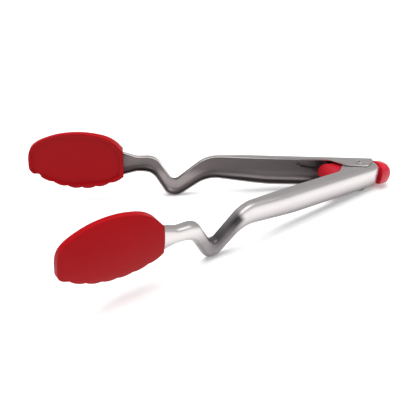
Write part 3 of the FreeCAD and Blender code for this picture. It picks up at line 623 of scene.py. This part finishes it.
def makeButton():
    bpy.ops.object.select_all(action="DESELECT")
    bpy.ops.mesh.primitive_uv_sphere_add(segments=72, ring_count=48, radius=1)
    piece = bpy.context.object
    piece.name = "buttonCap"
    modify(piece, "CAST", cast_type="CUBOID", factor=button["square"])
    spans = Vector((button["rear"] - button["front"], button["wide"], button["half"]))
    pickAll()
    bpy.ops.transform.resize(value=[2 * span / full for span, full in zip(spans, piece.dimensions)])
    bpy.ops.mesh.bisect(plane_co=(0, 0, 0), plane_no=(1, 0, 0), clear_inner=True, use_fill=True)
    pickAll()
    bpy.ops.transform.translate(value=(button["front"], 0, 0))
    bpy.ops.object.mode_set(mode="OBJECT")
    softenEdges(piece, button["edge"], 3, 60)
    neckFront, front, overlap = button["neckFront"], button["front"], button["neckOverlap"]
    bpy.ops.mesh.primitive_cube_add(size=1, location=((neckFront + front + overlap) / 2, 0, 0))
    neck = bpy.context.object
    bpy.ops.transform.resize(value=(front + overlap - neckFront, 2 * button["neckWide"],
                                    2 * button["neckHalf"]))
    bpy.ops.object.transform_apply(location=True, rotation=True, scale=True)
    softenEdges(neck, button["neckEdge"], 4, 50)
    carve(piece, neck, "UNION")
    x, y, sunk = button["dimple"]
    bpy.ops.mesh.primitive_uv_sphere_add(segments=32, ring_count=16, radius=button["dimpleRadius"],
                                         location=(x, y, sunk + button["dimpleRadius"]))
    carve(piece, bpy.context.object)
    settle(piece, hingeSpace, "button", ["button_cap"], ["redButton"], 40)


makeButton()


# springs: round wire drawn along a path; the torsion spring's legs bend from the core to the arms

spring = {"radius": 5.4, "wire": 0.65, "pitch": 1.45, "turns": 3, "low": -8.0, "legReach": 50.6,
          "legInset": 10.4, "knee": 34, "hook": 1.6, "hookRise": 1.0, "corner": 0.8, "steps": 28,
          "farLeg": {"lift": 2.0, "kneeHeight": -1.95, "tipHeight": 1.8},
          "nearLeg": {"lift": 2.6, "kneeHeight": -6.7, "tipHeight": -4.4}}
plungerSpring = {"from": 13.95, "to": 20.55, "height": 3.2, "radius": 2.85, "wire": 0.35, "turns": 5,
                 "steps": 20, "keep": 0.55}


def bentWire(places, corner):  # straight runs joined by short curves
    points = [places[0]]
    for before, here, after in zip(places[:-2], places[1:-1], places[2:]):
        back = (before - here).normalized()
        ahead = (after - here).normalized()
        trim = corner / math.tan(back.angle(ahead) / 2)
        start = here + back * trim
        end = here + ahead * trim
        for k in range(6):
            t = k / 5
            points.append(start * (1 - t) ** 2 + here * (2 * t * (1 - t)) + end * t * t)
    return points + [places[-1]]


def drawWire(name, points, radius):
    piece = drawChain(name, points)
    bpy.ops.object.mode_set(mode="OBJECT")
    bpy.ops.object.convert(target="CURVE")
    piece = bpy.context.object
    piece.data.bevel_depth = radius
    piece.data.bevel_resolution = 4
    piece.data.use_fill_caps = True
    bpy.ops.object.convert(target="MESH")
    return bpy.context.object


def coilPoints(radius, low, pitch, first, last, steps):
    count = round((last - first) / (2 * math.pi) * steps)
    points = []
    for k in range(count + 1):
        angle = first + (last - first) * k / count
        rise = pitch * (angle - first) / (2 * math.pi)
        points.append(Vector((radius * math.cos(angle), radius * math.sin(angle), low + rise)))
    return points


def makeTorsionSpring():
    radius, low = spring["radius"], spring["low"]
    reach, inset = spring["legReach"], spring["legInset"]
    end = Matrix.Rotation(-openAngle, 2) @ Vector((-reach, inset))
    first = -(math.atan2(end.y, end.x) - math.acos(radius / end.length))
    last = 2 * math.pi * spring["turns"] - first
    points = coilPoints(radius, low, spring["pitch"], first, last, spring["steps"])
    coil = drawWire("torsionCoil", points, spring["wire"])
    settle(coil, hingeSpace, "core", ["torsion_spring"], ["springWire"], 60)
    for which, body, leave, angle, side in (("farLeg", "far_side", points[-1], last, 1),
                                            ("nearLeg", "near_side", points[0], first, -1)):
        bends = spring[which]
        heading = Vector((-math.sin(angle), math.cos(angle), 0)) * side
        tip = Vector((end.x, side * end.y, bends["tipHeight"]))
        bend = leave.lerp(tip, spring["knee"] / (tip - leave).length)
        bend.z = bends["kneeHeight"]
        hook = tip + Vector((0, -side * spring["hook"], spring["hookRise"]))
        path = bentWire([leave, leave + heading * bends["lift"], bend, tip, hook], spring["corner"])
        leg = drawWire(which, path, spring["wire"])
        settle(leg, hingeSpace, None, ["torsion_spring"], ["springWire"], 60)
        hingeSpace @ (leave * mm)
        hingeSpace @ (bend * mm)
        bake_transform(leg)


def makePlungerSpring():
    rear, front, height = plungerSpring["from"], plungerSpring["to"], plungerSpring["height"]
    turns = plungerSpring["turns"]
    points = coilPoints(plungerSpring["radius"], 0, (front - rear) / turns, 0, 2 * math.pi * turns,
                        plungerSpring["steps"])
    points = [Vector((-rear - point.z, point.y, height + point.x)) for point in points]
    piece = drawWire("plungerSpring", points, plungerSpring["wire"])
    settle(piece, hingeSpace, "core", ["return_spring"], ["springWire"], 60)
    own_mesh(piece)


makeTorsionSpring()
makePlungerSpring()


# studio

studio = {"floorSize": 6, "floorDrop": 0.0002, "floorTone": (0.82, 0.82, 0.82, 1), "floorGlow": 0.18,
          "world": 0.38, "backdrop": 0.95}
softboxes = {
    "overheadBox": {"place": (-0.1, 0.2, 1.5), "size": (1.6, 1.4), "power": 36, "mirrored": False},
    "frontBox": {"place": (0.6, -1.1, 0.9), "size": (1.0, 0.8), "power": 5, "mirrored": True},
}


def addFloor():
    bpy.ops.object.select_all(action="DESELECT")
    bpy.ops.mesh.primitive_plane_add(size=studio["floorSize"], location=(0, 0, -studio["floorDrop"]))
    floor = bpy.context.object
    floor.name = "floor"
    paint = Paint("floorPaper", Specular_IOR_Level=0.1, Emission_Strength=studio["floorGlow"],
                  Emission_Color=(1, 1, 1, 1))
    paper = paint.noise(900, 2)
    paint.wear(Base_Color=studio["floorTone"], Roughness=paper * 0.05 + 0.85,
               Normal=paint.bump(paper, 0.02, 0.0001))
    floor.data.materials.append(paint.material)
    print("laid floor")


def addSoftbox(name, place, size, power, mirrored):
    bpy.ops.object.light_add(type="AREA", location=place)
    lamp = bpy.context.object
    lamp.name = name
    lamp.data.shape = "RECTANGLE"
    lamp.data.size, lamp.data.size_y = size
    lamp.data.energy = power
    lamp.visible_glossy = mirrored
    lamp.rotation_euler = (-Vector(place)).to_track_quat("-Z", "Y").to_euler()


def lightStudio():
    world = bpy.data.worlds.new("studioAir")
    scene.world = world
    world.use_nodes = True
    air = world.node_tree.nodes["Background"]
    air.inputs["Color"].default_value = (1, 1, 1, 1)
    seen = world.node_tree.nodes.new("ShaderNodeLightPath")
    level = world.node_tree.nodes.new("ShaderNodeMapRange")
    level.inputs["To Min"].default_value = studio["world"]
    level.inputs["To Max"].default_value = studio["backdrop"]
    world.node_tree.links.new(seen.outputs["Is Camera Ray"], level.inputs["Value"])
    world.node_tree.links.new(level.outputs["Result"], air.inputs["Strength"])
    for name, box in softboxes.items():
        addSoftbox(name, **box)
    scene.view_settings.view_transform = "Standard"
    print("lit studio")


addFloor()
lightStudio()
